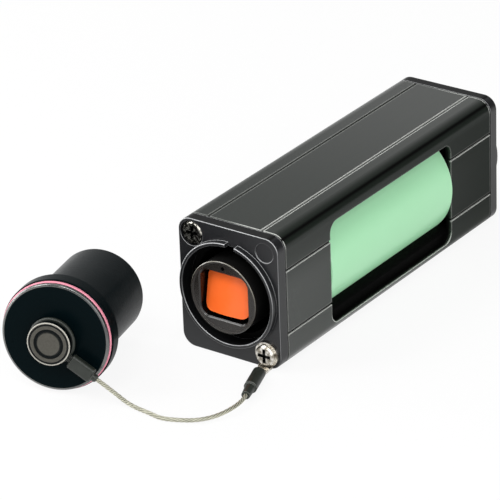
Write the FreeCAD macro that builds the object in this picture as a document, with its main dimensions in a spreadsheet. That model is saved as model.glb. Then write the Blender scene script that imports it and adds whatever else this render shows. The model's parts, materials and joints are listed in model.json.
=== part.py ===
import FreeCAD, Part

import math
import os

import Sketcher
from FreeCAD import Placement, Rotation, Vector

# Fibre coupler with a cap on a lanyard. Millimetres and degrees, +Z up, front socket towards -Y.
# The origin is the middle of the underside of the housing. Pieces of the two ends are drawn about
# the socket axis in their front place; the rear ones are the same drawings turned half round.

doc = FreeCAD.newDocument("fibre_coupler")
sheet = doc.addObject("Spreadsheet::Sheet", "dims")

DRIVING = [
    ("body_width", 26.0, "width of housing and flanges"),
    ("body_height", 31.0, "height of housing and flanges"),
    ("corner_radius", 3.2, "outer corner radius of housing and flanges"),
    ("tube_length", 82.0, "length of the extruded housing"),
    ("tube_wall", 1.4, "wall of the housing"),
    ("cavity_radius", 1.8, "inner corner radius of the housing"),
    ("boss_inset", 3.5, "middle of the screw channels, off the outer faces"),
    ("boss_radius", 2.3, "outer radius of a screw channel"),
    ("groove_width", 0.6, "width of the extruded grooves"),
    ("groove_depth", 0.35, "depth of the extruded grooves"),
    ("groove_top_x", 7.0, "grooves of the top and underside, off the middle"),
    ("groove_side_z", 7.5, "grooves of the two sides, off the axis"),
    ("window_length", 48.6, "length of the side window"),
    ("window_height", 24.6, "height of the side window"),
    ("window_drop", 0.6, "middle of the side window below the axis"),
    ("window_cut", 0.15, "window cut past the inner face of the wall"),
    ("window_radius", 2.6, "corner radius of the side window"),
    ("strip_bow", 0.35, "bowed strip past the side of the housing"),
    ("strip_thickness", 0.6, "thickness of the bowed strip"),
    ("strip_end_gap", 0.1, "strip to window at either end"),
    ("seat_gap", 0.01, "gap between seated pieces"),
    ("gasket_thickness", 0.4, "flange gasket"),
    ("gasket_inset", 0.15, "gasket edge behind the flange edge"),
    ("gasket_gap", 0.15, "gasket to inner shell, radial"),
    ("plate_thickness", 2.6, "flange plate"),
    ("plate_round", 0.3, "rounded front edge of the flange plate"),
    ("collar_wall", 0.85, "wall of the raised collar"),
    ("collar_step", 0.1, "collar bore wider than the inner shell, radial"),
    ("collar_height", 1.5, "collar rim in front of the plate"),
    ("collar_round", 0.3, "rounded collar rim"),
    ("collar_bore_depth", 3.7, "depth of the collar bore behind the rim"),
    ("notch_width", 2.5, "key notch at the top of the collar"),
    ("notch_x", 1.4, "key notch off the middle"),
    ("shell_gap", 0.2, "inner shell to the housing wall"),
    ("shell_wall", 1.2, "wall of the inner shell"),
    ("shell_depth", 25.0, "floor of the ring gap behind the rim"),
    ("back_wall", 1.6, "wall closing the shell"),
    ("ring_gap", 1.7, "ring gap between the nose and the inner shell"),
    ("core_proud", 2.5, "nose face in front of the plate"),
    ("core_bevel", 0.15, "bevel of the nose lip"),
    ("lip_width", 0.4, "lip of the nose face, with its bevel"),
    ("dish_slope", 0.25, "slope from the lip to the sunk face, across"),
    ("dish_depth", 0.3, "nose face sunk behind its lip"),
    ("core_fit", 0.05, "nose to shell wall, radial"),
    ("core_relief", 0.5, "nose relieved by this near the floor of the ring gap"),
    ("relief_length", 1.0, "relief in front of the floor of the ring gap"),
    ("core_tail_end", 12.0, "inner end of the nose, from the middle"),
    ("seal_thickness", 0.6, "ring behind the shell wall"),
    ("shoulder_step", 1.4, "shoulder of the nose, past the nose"),
    ("shoulder_length", 1.5, "shoulder of the nose, length"),
    ("plug_width", 12.4, "plug opening, where the nose has room"),
    ("plug_height", 11.0, "plug opening, where the nose has room"),
    ("opening_side", 2.3, "least nose face beside the plug opening"),
    ("opening_over", 3.0, "least nose face over and under the plug opening"),
    ("opening_radius", 2.2, "corner radius of the plug opening"),
    ("opening_bevel", 0.3, "bevelled edge of the plug opening"),
    ("seat_step", 0.3, "adapter seat wider than the opening, each side"),
    ("seat_depth", 3.0, "depth of the adapter seat"),
    ("dot_radius", 0.45, "index hole in the nose face"),
    ("dot_inset", 1.7, "index hole inside the edge of the nose"),
    ("dot_depth", 2.0, "depth of the index hole"),
    ("adapter_fit", 0.1, "adapter to seat, each side"),
    ("port_width", 9.6, "adapter port"),
    ("port_side", 1.4, "adapter port inside the opening, at least, each side"),
    ("port_height", 7.4, "adapter port"),
    ("port_over", 1.8, "adapter port below the opening, at least, each side"),
    ("port_floor", 2.0, "wall between a port and the middle"),
    ("port_radius", 0.6, "corner radius of the adapter port"),
    ("ferrule_width", 7.0, "ferrule window between the ports"),
    ("ferrule_side", 1.3, "ferrule window inside the port, at least, each side"),
    ("ferrule_height", 3.0, "ferrule window between the ports"),
    ("key_width", 3.0, "key slot over the port"),
    ("key_height", 1.0, "key slot over the port"),
    ("key_bite", 0.5, "key slot into the port"),
    ("key_end", 8.0, "inner end of the key slot, from the middle"),
    ("hinge_depth", 4.2, "shutter pin behind the nose face"),
    ("hinge_drop", 1.25, "shutter pin below the top of the opening"),
    ("shutter_lean", 11.0, "lean of the closed shutter, foot forward, degrees"),
    ("shutter_clearance", 0.5, "shutter to opening, each side"),
    ("shutter_thickness", 1.0, "shutter plate"),
    ("shutter_bow", 18.0, "radius of the bowed shutter face"),
    ("shutter_lead", 2.0, "shutter face in front of the pin"),
    ("foot_gap", 0.55, "foot of the shutter above the bottom of the opening"),
    ("shutter_rise", 0.3, "shutter above the pin"),
    ("shutter_corner", 1.8, "corner radius of the shutter"),
    ("knuckle_radius", 0.95, "shutter knuckle"),
    ("knuckle_inner", 2.2, "inner end of a knuckle, off the middle"),
    ("knuckle_gap", 2.0, "outer end of a knuckle to the side of the opening"),
    ("pin_radius", 0.55, "shutter pin"),
    ("pin_fit", 0.03, "pin in the nose, radial"),
    ("hinge_fit", 0.05, "pin in the knuckles, radial"),
    ("pin_bite", 0.6, "pin into the nose, either side"),
    ("pin_end_gap", 0.1, "pin to the end of its hole"),
    ("spring_mean", 0.75, "mean radius of the shutter spring"),
    ("spring_wire", 0.13, "wire radius of the shutter spring"),
    ("spring_half", 1.65, "half length of the coil"),
    ("spring_pitch", 0.75, "pitch of the coil"),
    ("screw_radius", 1.4, "flange screw"),
    ("screw_fit", 0.05, "screw in its channel, radial"),
    ("screw_hole", 1.6, "screw hole of the plate"),
    ("screw_length", 8.0, "screw under its head"),
    ("screw_tip", 0.5, "chamfered tip of a screw"),
    ("head_radius", 2.65, "screw head"),
    ("head_height", 1.2, "screw head"),
    ("head_round", 0.35, "edge of the screw head"),
    ("counterbore_radius", 2.95, "recess for a screw head"),
    ("counterbore_depth", 1.3, "recess for a screw head"),
    ("low_head_radius", 2.4, "head of the lanyard screw"),
    ("low_head_height", 0.9, "head of the lanyard screw"),
    ("cross_width", 0.8, "cross recess"),
    ("cross_length", 3.3, "cross recess"),
    ("cross_depth", 0.6, "cross recess"),
    ("round_recess_radius", 2.3, "plain round recess of the plate"),
    ("round_recess_depth", 0.2, "plain round recess of the plate"),
    ("eyelet_edge", 0.6, "lanyard eyelet inside the edge of the plate"),
    ("eyelet_thickness", 0.5, "lanyard eyelet"),
    ("tongue_root", 3.6, "tongue of the eyelet at the ring"),
    ("tongue_width", 1.3, "tongue of the eyelet at its end"),
    ("tongue_aside", 0.4, "root of the tongue beside the screw"),
    ("tongue_low", 0.45, "tongue above the floor"),
    ("tongue_reach", 6.0, "end of the tongue in front of the plate"),
    ("sleeve_radius", 1.45, "sleeve at the housing"),
    ("sleeve_tip_radius", 1.15, "tip of the sleeve at the housing, behind"),
    ("sleeve_end_radius", 0.95, "tip of the sleeve at the housing, at its end"),
    ("sleeve_tip_length", 3.6, "stepped tip of the sleeve"),
    ("sleeve_step", 0.25, "slanted step of the sleeve"),
    ("sleeve_start", 5.05, "sleeve in front of the plate"),
    ("sleeve_aside", 1.2, "sleeve start beside the screw"),
    ("sleeve_rest", 0.1, "sleeve above the floor"),
    ("wire_radius", 0.475, "lanyard wire"),
    ("cap_x", -22.67, "middle of the cap face, across"),
    ("cap_y", -76.07, "middle of the cap face, along"),
    ("cap_heading", 17.9, "cap turned from -Y towards +X, degrees"),
    ("cap_disc_under", 0.46, "front disc below the edge of the cap flange"),
    ("cap_disc_thickness", 0.8, "front disc of the cap"),
    ("cap_disc_round", 0.5, "rounded edge of the disc"),
    ("cap_seal_width", 0.9, "width of the seal groove"),
    ("cap_seal_under", 0.25, "seal below the edge of the cap flange"),
    ("cap_seal_round", 0.3, "rounded edges of the seal"),
    ("cap_seal_gap", 0.02, "seal in its groove"),
    ("cap_groove_depth", 2.1, "root of the seal groove below the edge of the cap flange"),
    ("cap_flange_over", 0.15, "cap flange past the collar, radial"),
    ("cap_flange_length", 3.3, "cap flange behind the seal"),
    ("cap_flange_round", 0.2, "rounded front edge of the cap flange"),
    ("cap_plug_gap", 0.23, "cap plug in the shell bore, radial"),
    ("cap_floor_gap", 1.3, "cap plug short of the floor of the ring gap"),
    ("cap_plug_chamfer", 0.4, "lead-in of the cap plug"),
    ("cap_hollow_gap", 0.3, "cap hollow over the nose, radial"),
    ("cap_front_wall", 3.2, "wall of the cap face"),
    ("stem_radius", 1.2, "stem of the button"),
    ("stem_gap", 0.01, "stem in the cap face"),
    ("neck_radius", 3.9, "neck of the button"),
    ("neck_length", 2.64, "neck of the button"),
    ("button_radius", 4.85, "head of the button"),
    ("button_thickness", 1.4, "head of the button"),
    ("button_round", 0.2, "rounded edge of the button"),
    ("face_ring_outer", 4.5, "outer ring groove of the button face"),
    ("face_ring_outer_width", 0.16, "outer ring groove of the button face"),
    ("face_ring_inner", 3.0, "inner ring groove of the button face"),
    ("face_ring_inner_width", 0.7, "inner ring groove of the button face"),
    ("face_ring_depth", 0.2, "ring grooves of the button face"),
    ("loop_wire", 0.5, "wire radius of the loop"),
    ("loop_neck_gap", 0.35, "loop round the neck, radial"),
    ("loop_face_gap", 1.29, "loop off the cap face"),
    ("strand_length", 1.15, "strands of the loop, in front of the sleeve"),
    ("strand_radius", 0.42, "strands of the loop"),
    ("strand_gap", 0.1, "between the strands of the loop"),
    ("cap_sleeve_x", 4.24, "sleeve start on the cap face"),
    ("cap_sleeve_y", -3.80, "sleeve start on the cap face"),
    ("cap_sleeve_turn", -32.3, "sleeve direction on the cap face, degrees"),
    ("cap_sleeve_length", 5.7, "sleeve at the cap"),
    ("cap_sleeve_width", 3.4, "sleeve at the cap"),
    ("cap_sleeve_thickness", 1.8, "sleeve at the cap"),
    ("cap_sleeve_radius", 0.7, "edge radius of the sleeve at the cap"),
    ("cap_sleeve_end", 0.25, "bevelled ends of the sleeve at the cap"),
    ("nub_radius", 0.85, "nub of the sleeve, round the wire"),
    ("nub_length", 1.2, "nub of the sleeve, round the wire"),
    ("nub_bevel", 0.25, "bevelled end of the nub"),
]

for row, (alias, value, note) in enumerate(DRIVING, 1):
    sheet.set(f"A{row}", note)
    sheet.set(f"B{row}", str(value))
    sheet.setAlias(f"B{row}", alias)
doc.recompute()


class Size:
    """A size of the sheet, or sum of such sizes: the expression text together with its present value."""

    def __init__(self, text, value):
        self.text = text
        self.value = float(value)

    def __add__(self, other):
        other = size(other)
        return Size(f"({self.text} + {other.text})", self.value + other.value)

    def __sub__(self, other):
        other = size(other)
        return Size(f"({self.text} - {other.text})", self.value - other.value)

    def __mul__(self, other):
        other = size(other)
        return Size(f"({self.text} * {other.text})", self.value * other.value)

    def __truediv__(self, other):
        other = size(other)
        return Size(f"({self.text} / {other.text})", self.value / other.value)

    def __neg__(self):
        return Size(f"(-1 * {self.text})", -self.value)


def size(item):
    """A plain number as a Size; a Size as it is."""
    if isinstance(item, Size):
        return item
    return Size(f"({float(item)!r})", item)


class Sizes:
    """The aliases of the sheet as attributes."""


def least(first, second):
    """The smaller of two sizes."""
    return Size(f"min({first.text}; {second.text})", min(first.value, second.value))


d = Sizes()
for alias, value, note in DRIVING:
    setattr(d, alias, Size(f"dims.{alias}", value))

# Stations along -Y, counted from the middle of the housing towards the front.
axis_height = d.body_height / 2
half_width = d.body_width / 2
boss_x = half_width - d.boss_inset
boss_z = axis_height - d.boss_inset
tube_end = d.tube_length / 2
plate_back = tube_end + d.gasket_thickness
plate_face = plate_back + d.plate_thickness
rim = plate_face + d.collar_height
nose_face = plate_face + d.core_proud
sunk_face = nose_face - d.dish_depth
gap_floor = rim - d.shell_depth
wall_back = gap_floor - d.back_wall
seal_back = wall_back - d.seal_thickness
shoulder_back = seal_back - d.shoulder_length
seat_floor = d.core_tail_end + d.seat_depth
boss_bore = d.screw_radius + d.screw_fit
hinge_y = nose_face - d.hinge_depth

# Radii of the socket, from the housing wall inwards, and the opening in its nose.
shell_radius = half_width - d.tube_wall - d.shell_gap
shell_bore = shell_radius - d.shell_wall
collar_bore = shell_radius + d.collar_step
collar_radius = collar_bore + d.collar_wall
core_radius = shell_bore - d.ring_gap
shoulder_radius = core_radius + d.shoulder_step
opening_width = least(d.plug_width, (core_radius - d.opening_side) * 2)
opening_height = least(d.plug_height, (core_radius - d.opening_over) * 2)
dot_z = core_radius - d.dot_inset
hinge_z = opening_height / 2 - d.hinge_drop
shutter_drop = hinge_z + opening_height / 2 - d.foot_gap
pin_half = opening_width / 2 + d.pin_bite
knuckle_outer = opening_width / 2 - d.knuckle_gap
strip_radius = half_width + d.strip_bow
eyelet_radius = d.boss_inset - d.eyelet_edge


def new_body(name):
    body = doc.addObject("PartDesign::Body", name)
    body.Label = name
    return body


def sketch_on(body, role, name, offset=0.0):
    """A sketch on one of the body's own planes, moved along the plane's normal."""
    plane = [f for f in body.Origin.OriginFeatures if f.Role == role][0]
    sketch = body.newObject("Sketcher::SketchObject", f"{body.Name}_{name}")
    sketch.AttachmentSupport = [(plane, "")]
    sketch.MapMode = "FlatFace"
    sketch.setExpression("AttachmentOffset.Base.z", size(offset).text)
    return sketch


def bind(sketch, index, item):
    sketch.setExpression(f"Constraints[{index}]", item.text)


def tie(sketch, kind, geometry, point, item):
    """Hold one coordinate of a point at a size from the sketch origin."""
    item = size(item)
    if abs(item.value) < 1e-9:
        axis = -2 if kind == "DistanceX" else -1
        sketch.addConstraint(Sketcher.Constraint("PointOnObject", geometry, point, axis))
        return
    index = sketch.addConstraint(Sketcher.Constraint(kind, -1, 1, geometry, point, item.value))
    bind(sketch, index, item)


def polygon(sketch, corners):
    """A closed polygon with every corner held by the sheet."""
    corners = [(size(x), size(y)) for x, y in corners]
    points = [Vector(x.value, y.value, 0) for x, y in corners]
    count = len(points)
    first = sketch.GeometryCount
    for i in range(count):
        sketch.addGeometry(Part.LineSegment(points[i], points[(i + 1) % count]), False)
    for i in range(count):
        follower = first + (i + 1) % count
        sketch.addConstraint(Sketcher.Constraint("Coincident", first + i, 2, follower, 1))
    for i, (x, y) in enumerate(corners):
        tie(sketch, "DistanceX", first + i, 1, x)
        tie(sketch, "DistanceY", first + i, 1, y)


def box(sketch, left, right, low, high):
    polygon(sketch, [(left, low), (right, low), (right, high), (left, high)])


def disc(sketch, x, y, radius):
    """A full circle."""
    x, y, radius = size(x), size(y), size(radius)
    circle = Part.Circle(Vector(x.value, y.value, 0), Vector(0, 0, 1), radius.value)
    geometry = sketch.addGeometry(circle, False)
    bind(sketch, sketch.addConstraint(Sketcher.Constraint("Radius", geometry, radius.value)), radius)
    tie(sketch, "DistanceX", geometry, 3, x)
    tie(sketch, "DistanceY", geometry, 3, y)


def arc(sketch, x, y, radius, start, end):
    circle = Part.Circle(Vector(x, y, 0), Vector(0, 0, 1), radius)
    return sketch.addGeometry(Part.ArcOfCircle(circle, math.radians(start), math.radians(end)), False)


def line(sketch, x0, y0, x1, y1):
    return sketch.addGeometry(Part.LineSegment(Vector(x0, y0, 0), Vector(x1, y1, 0)), False)


def round_box(sketch, left, right, low, high, radius):
    """A rectangle with four equal rounded corners."""
    left, right, low, high, radius = [size(v) for v in (left, right, low, high, radius)]
    a, b, c, e, r = left.value, right.value, low.value, high.value, radius.value
    lines = [line(sketch, a + r, c, b - r, c)]
    arcs = [arc(sketch, b - r, c + r, r, -90, 0)]
    lines.append(line(sketch, b, c + r, b, e - r))
    arcs.append(arc(sketch, b - r, e - r, r, 0, 90))
    lines.append(line(sketch, b - r, e, a + r, e))
    arcs.append(arc(sketch, a + r, e - r, r, 90, 180))
    lines.append(line(sketch, a, e - r, a, c + r))
    arcs.append(arc(sketch, a + r, c + r, r, 180, 270))
    for i in range(4):
        sketch.addConstraint(Sketcher.Constraint("Tangent", lines[i], 2, arcs[i], 1))
        sketch.addConstraint(Sketcher.Constraint("Tangent", arcs[i], 2, lines[(i + 1) % 4], 1))
        sketch.addConstraint(Sketcher.Constraint("Vertical" if i % 2 else "Horizontal", lines[i]))
        if i:
            sketch.addConstraint(Sketcher.Constraint("Equal", arcs[0], arcs[i]))
    bind(sketch, sketch.addConstraint(Sketcher.Constraint("Radius", arcs[0], r)), radius)
    tie(sketch, "DistanceY", lines[0], 1, low)
    tie(sketch, "DistanceX", lines[1], 1, right)
    tie(sketch, "DistanceY", lines[2], 1, high)
    tie(sketch, "DistanceX", lines[3], 1, left)


def pad(body, sketch, length, both=False, back=False):
    """Raise a sketch along its normal, to both sides of it, or backwards."""
    feature = body.newObject("PartDesign::Pad", f"{sketch.Name}_pad")
    feature.Profile = sketch
    feature.SideType = "Symmetric" if both else "One side"
    feature.Reversed = back
    feature.setExpression("Length", size(length).text)
    doc.recompute()
    return feature


def pocket(body, sketch, depth, both=False, along=False):
    """Cut a sketch against its normal, to both sides of it, or along the normal."""
    before = body.Shape.Volume
    feature = body.newObject("PartDesign::Pocket", f"{sketch.Name}_cut")
    feature.Profile = sketch
    feature.SideType = "Symmetric" if both else "One side"
    feature.Reversed = along
    feature.setExpression("Length", size(depth).text)
    doc.recompute()
    removed(feature, before, body.Shape.Volume)
    return feature


def removed(feature, before, after):
    if not after < before - 1e-4:
        raise RuntimeError(f"{feature.Name} took nothing away: {before:.4f} to {after:.4f}")


def turn(body, sketch, cut=False):
    """Revolve a sketch about its vertical axis, to add or to cut."""
    before = body.Shape.Volume if cut else 0.0
    kind = "PartDesign::Groove" if cut else "PartDesign::Revolution"
    feature = body.newObject(kind, f"{sketch.Name}_turn")
    feature.Profile = sketch
    feature.ReferenceAxis = (sketch, ["V_Axis"])
    feature.Angle = 360.0
    doc.recompute()
    if cut:
        removed(feature, before, body.Shape.Volume)
    return feature


def edges_where(feature, test):
    """Names of the edges that lie in a place all along."""
    names = []
    for index, edge in enumerate(feature.Shape.Edges, 1):
        if all(test(p) for p in edge.discretize(7)):
            names.append(f"Edge{index}")
    if not names:
        raise RuntimeError(f"no edge found on {feature.Name}")
    return names


def fillet(body, feature, test, radius):
    rounded = body.newObject("PartDesign::Fillet", f"{feature.Name}_round")
    rounded.Base = (feature, edges_where(feature, test))
    rounded.setExpression("Radius", size(radius).text)
    doc.recompute()
    return rounded


def bevel(body, feature, test, width):
    cut = body.newObject("PartDesign::Chamfer", f"{feature.Name}_bevel")
    cut.Base = (feature, edges_where(feature, test))
    cut.setExpression("Size", size(width).text)
    doc.recompute()
    return cut


def near(first, second):
    return abs(first - second) < 1e-4


def ring_edge(station, radius, axis="y"):
    """A test for a circular edge about the axis, at one station and radius."""
    station, radius = size(station).value, size(radius).value

    def test(p):
        if axis == "y":
            return near(p.y, station) and near(math.hypot(p.x, p.z), radius)
        return near(p.z, station) and near(math.hypot(p.x, p.y), radius)

    return test


def set_end(piece, end):
    """Put a piece drawn about the socket axis at the front or at the rear end."""
    piece.Placement = Placement(Vector(0, 0, axis_height.value), Rotation(Vector(0, 0, 1), 180.0 * end))
    piece.setExpression("Placement.Base.z", axis_height.text)


pieces = []

# Housing: one extrusion, then the screw channels, grooves and the window of the right side.
tube = new_body("housing_tube")
profile = sketch_on(tube, "XZ_Plane", "profile")
round_box(profile, -half_width, half_width, -axis_height, axis_height, d.corner_radius)
cavity_x = half_width - d.tube_wall
cavity_z = axis_height - d.tube_wall
round_box(profile, -cavity_x, cavity_x, -cavity_z, cavity_z, d.cavity_radius)
pad(tube, profile, d.tube_length, both=True)
corners = [(boss_x, boss_z), (-boss_x, boss_z), (-boss_x, -boss_z), (boss_x, -boss_z)]
channels = sketch_on(tube, "XZ_Plane", "channels")
bores = sketch_on(tube, "XZ_Plane", "bores")
for x, z in corners:
    disc(channels, x, z, d.boss_radius)
    disc(bores, x, z, boss_bore)
pad(tube, channels, d.tube_length, both=True)
pocket(tube, bores, d.tube_length, both=True)
grooves = sketch_on(tube, "XZ_Plane", "grooves")
for side in (1, -1):
    left = d.groove_top_x * side - d.groove_width / 2
    right = d.groove_top_x * side + d.groove_width / 2
    box(grooves, left, right, axis_height - d.groove_depth, axis_height + 1)
    box(grooves, left, right, -axis_height - 1, -axis_height + d.groove_depth)
    low = d.groove_side_z * side - d.groove_width / 2
    high = d.groove_side_z * side + d.groove_width / 2
    box(grooves, half_width - d.groove_depth, half_width + 1, low, high)
    box(grooves, -half_width - 1, -half_width + d.groove_depth, low, high)
pocket(tube, grooves, d.tube_length, both=True)
window = sketch_on(tube, "YZ_Plane", "window", half_width + 1)
half_window = d.window_length / 2
half_rise = d.window_height / 2
window_low = -half_rise - d.window_drop
window_high = half_rise - d.window_drop
round_box(window, -half_window, half_window, window_low, window_high, d.window_radius)
pocket(tube, window, d.tube_wall + d.window_cut + 1)
set_end(tube, 0)
pieces.append(tube)

# Bowed strip: concentric with the socket axis, its long edges seated on the screw channels.
strip = new_body("window_strip")
bow = sketch_on(strip, "XZ_Plane", "bow")
strip_inner = strip_radius - d.strip_thickness
edge_z = boss_z - d.boss_radius - d.seat_gap
angle_out = math.degrees(math.asin(edge_z.value / strip_radius.value))
angle_in = math.degrees(math.asin(edge_z.value / strip_inner.value))
outer = arc(bow, 0, 0, strip_radius.value, -angle_out, angle_out)
inner = arc(bow, 0, 0, strip_inner.value, -angle_in, angle_in)
out_x = math.sqrt(strip_radius.value ** 2 - edge_z.value ** 2)
in_x = math.sqrt(strip_inner.value ** 2 - edge_z.value ** 2)
top = line(bow, out_x, edge_z.value, in_x, edge_z.value)
foot = line(bow, in_x, -edge_z.value, out_x, -edge_z.value)
for first, first_point, second, second_point in (
    (outer, 2, top, 1),
    (top, 2, inner, 2),
    (inner, 1, foot, 1),
    (foot, 2, outer, 1),
):
    bow.addConstraint(Sketcher.Constraint("Coincident", first, first_point, second, second_point))
for curve, radius in ((outer, strip_radius), (inner, strip_inner)):
    bow.addConstraint(Sketcher.Constraint("Coincident", curve, 3, -1, 1))
    bind(bow, bow.addConstraint(Sketcher.Constraint("Radius", curve, radius.value)), radius)
    tie(bow, "DistanceY", curve, 1, -edge_z)
    tie(bow, "DistanceY", curve, 2, edge_z)
pad(strip, bow, d.window_length - d.strip_end_gap * 2, both=True)
set_end(strip, 0)
pieces.append(strip)


def make_flange(name, end, sunk, recess):
    """End plate with keyed collar and inner shell; sunk screws in the given corners."""
    body = new_body(name)
    plate = sketch_on(body, "XZ_Plane", "plate", plate_back)
    round_box(plate, -half_width, half_width, -axis_height, axis_height, d.corner_radius)
    slab = pad(body, plate, d.plate_thickness)
    fillet(body, slab, lambda p: near(p.y, -plate_face.value), d.plate_round)
    solid = sketch_on(body, "XY_Plane", "collar")
    polygon(solid, [
        (0, -rim),
        (collar_radius, -rim),
        (collar_radius, -plate_back - d.plate_thickness / 2),
        (shell_radius, -plate_back - d.plate_thickness / 2),
        (shell_radius, -wall_back),
        (0, -wall_back),
    ])
    turn(body, solid)
    hollow = sketch_on(body, "XY_Plane", "hollow")
    polygon(hollow, [
        (0, -rim - 1),
        (collar_bore, -rim - 1),
        (collar_bore, -rim + d.collar_bore_depth),
        (shell_bore, -rim + d.collar_bore_depth),
        (shell_bore, -gap_floor),
        (core_radius + d.core_fit, -gap_floor),
        (core_radius + d.core_fit, -wall_back + 1),
        (0, -wall_back + 1),
    ])
    bored = turn(body, hollow, cut=True)
    outer_rim = ring_edge(-rim, collar_radius)
    inner_rim = ring_edge(-rim, collar_bore)
    fillet(body, bored, lambda p: outer_rim(p) or inner_rim(p), d.collar_round)
    notch = sketch_on(body, "XZ_Plane", "notch", rim + 1)
    half_notch = d.notch_width / 2
    box(notch, d.notch_x - half_notch, d.notch_x + half_notch, shell_bore, collar_radius + 1)
    pocket(body, notch, d.collar_height + 1)
    holes = sketch_on(body, "XZ_Plane", "holes", plate_face + 1)
    sinks = sketch_on(body, "XZ_Plane", "sinks", plate_face + 1)
    disc(holes, -boss_x, boss_z, d.screw_hole)
    disc(holes, boss_x, -boss_z, d.screw_hole)
    for x, z in sunk:
        disc(sinks, x, z, d.counterbore_radius)
    pocket(body, holes, d.plate_thickness + 2)
    pocket(body, sinks, d.counterbore_depth + 1)
    if recess:
        shallow = sketch_on(body, "XZ_Plane", "recess", plate_face + 1)
        disc(shallow, boss_x, boss_z, d.round_recess_radius)
        pocket(body, shallow, d.round_recess_depth + 1)
    set_end(body, end)
    return body


upper_left = (-boss_x, boss_z)
lower_right = (boss_x, -boss_z)
pieces.append(make_flange("front_flange", 0, [upper_left], True))
pieces.append(make_flange("rear_flange", 1, [upper_left, lower_right], True))


def make_gasket(name, end):
    body = new_body(name)
    outline = sketch_on(body, "XZ_Plane", "outline", tube_end)
    x = half_width - d.gasket_inset
    z = axis_height - d.gasket_inset
    round_box(outline, -x, x, -z, z, d.corner_radius - d.gasket_inset)
    disc(outline, 0, 0, shell_radius + d.gasket_gap)
    disc(outline, -boss_x, boss_z, d.screw_hole)
    disc(outline, boss_x, -boss_z, d.screw_hole)
    pad(body, outline, d.gasket_thickness)
    set_end(body, end)
    return body


def make_core(name, end):
    """Round nose: shuttered opening in front, adapter seat behind, cross holes for the shutter pin."""
    body = new_body(name)
    half = sketch_on(body, "XY_Plane", "half")
    neck = core_radius - d.core_relief
    lip = core_radius - d.lip_width
    polygon(half, [
        (0, -sunk_face),
        (lip - d.dish_slope, -sunk_face),
        (lip, -nose_face),
        (core_radius - d.core_bevel, -nose_face),
        (core_radius, -nose_face + d.core_bevel),
        (core_radius, -gap_floor - d.relief_length),
        (neck, -gap_floor - d.relief_length),
        (neck, -seal_back),
        (shoulder_radius, -seal_back),
        (shoulder_radius, -shoulder_back),
        (core_radius, -shoulder_back),
        (core_radius, -d.core_tail_end),
        (0, -d.core_tail_end),
    ])
    turn(body, half)
    x = opening_width / 2
    z = opening_height / 2
    passage = sketch_on(body, "XZ_Plane", "passage", nose_face + 1)
    round_box(passage, -x, x, -z, z, d.opening_radius)
    opened = pocket(body, passage, nose_face + 2 - d.core_tail_end)

    def mouth(p):
        inside = abs(p.x) < x.value + 1e-4 and abs(p.z) < z.value + 1e-4
        return inside and near(p.y, -sunk_face.value)

    bevel(body, opened, mouth, d.opening_bevel)
    seat = sketch_on(body, "XZ_Plane", "seat", seat_floor)
    round_box(seat, -x - d.seat_step, x + d.seat_step, -z - d.seat_step, z + d.seat_step, d.opening_radius)
    pocket(body, seat, d.seat_depth + 1)
    dot = sketch_on(body, "XZ_Plane", "dot", nose_face + 1)
    disc(dot, 0, dot_z, d.dot_radius)
    pocket(body, dot, d.dot_depth + 1)
    cross = sketch_on(body, "YZ_Plane", "cross")
    disc(cross, -hinge_y, hinge_z, d.pin_radius + d.pin_fit)
    pocket(body, cross, (pin_half + d.pin_end_gap) * 2, both=True)
    set_end(body, end)
    return body


def make_core_seal(name, end):
    body = new_body(name)
    ring = sketch_on(body, "XZ_Plane", "ring", seal_back)
    disc(ring, 0, 0, shoulder_radius)
    disc(ring, 0, 0, core_radius - d.core_relief + d.core_fit)
    pad(body, ring, d.seal_thickness)
    set_end(body, end)
    return body


def make_shutter(name, end):
    """Bowed flap, drawn hanging from its pin at the origin, then leaned with its foot forward."""
    body = new_body(name)
    band = sketch_on(body, "XY_Plane", "band", d.shutter_rise)
    x = opening_width / 2 - d.shutter_clearance
    middle = d.shutter_bow - d.shutter_lead
    inner_bow = d.shutter_bow - d.shutter_thickness
    for radius in (d.shutter_bow, inner_bow):
        spread = math.degrees(math.asin(x.value / radius.value))
        curve = arc(band, 0, middle.value, radius.value, 270 - spread, 270 + spread)
        bind(band, band.addConstraint(Sketcher.Constraint("Radius", curve, radius.value)), radius)
        tie(band, "DistanceX", curve, 3, 0)
        tie(band, "DistanceY", curve, 3, middle)
        tie(band, "DistanceX", curve, 1, -x)
        tie(band, "DistanceX", curve, 2, x)
    for point in (1, 2):
        a, b = band.getPoint(0, point), band.getPoint(1, point)
        side = line(band, a.x, a.y, b.x, b.y)
        band.addConstraint(Sketcher.Constraint("Coincident", side, 1, 0, point))
        band.addConstraint(Sketcher.Constraint("Coincident", side, 2, 1, point))
    slab = pad(body, band, shutter_drop + d.shutter_rise, back=True)
    top = d.shutter_rise.value
    foot = -shutter_drop.value

    def corner(p):
        return near(abs(p.x), x.value) and (near(p.z, top) or near(p.z, foot))

    fillet(body, slab, corner, d.shutter_corner)
    for side in (1, -1):
        knuckle = sketch_on(body, "YZ_Plane", f"knuckle{1 + side}", d.knuckle_inner * side)
        disc(knuckle, 0, 0, d.knuckle_radius)
        pad(body, knuckle, knuckle_outer - d.knuckle_inner, back=side < 0)
    eye = sketch_on(body, "YZ_Plane", "eye")
    disc(eye, 0, 0, d.pin_radius + d.hinge_fit)
    pocket(body, eye, opening_width, both=True)
    hang(body, end, d.shutter_lean.value)
    return body


def hang(piece, end, lean):
    """Set a piece drawn about the shutter pin at its pin, leaned by some degrees."""
    turned = Rotation(Vector(0, 0, 1), 180.0 * end)
    place = turned.multVec(Vector(0, -hinge_y.value, 0)) + Vector(0, 0, axis_height.value + hinge_z.value)
    piece.Placement = Placement(place, turned.multiply(Rotation(Vector(1, 0, 0), -lean)))
    piece.setExpression("Placement.Base.y", (hinge_y * (2 * end - 1)).text)
    piece.setExpression("Placement.Base.z", (axis_height + hinge_z).text)


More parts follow.
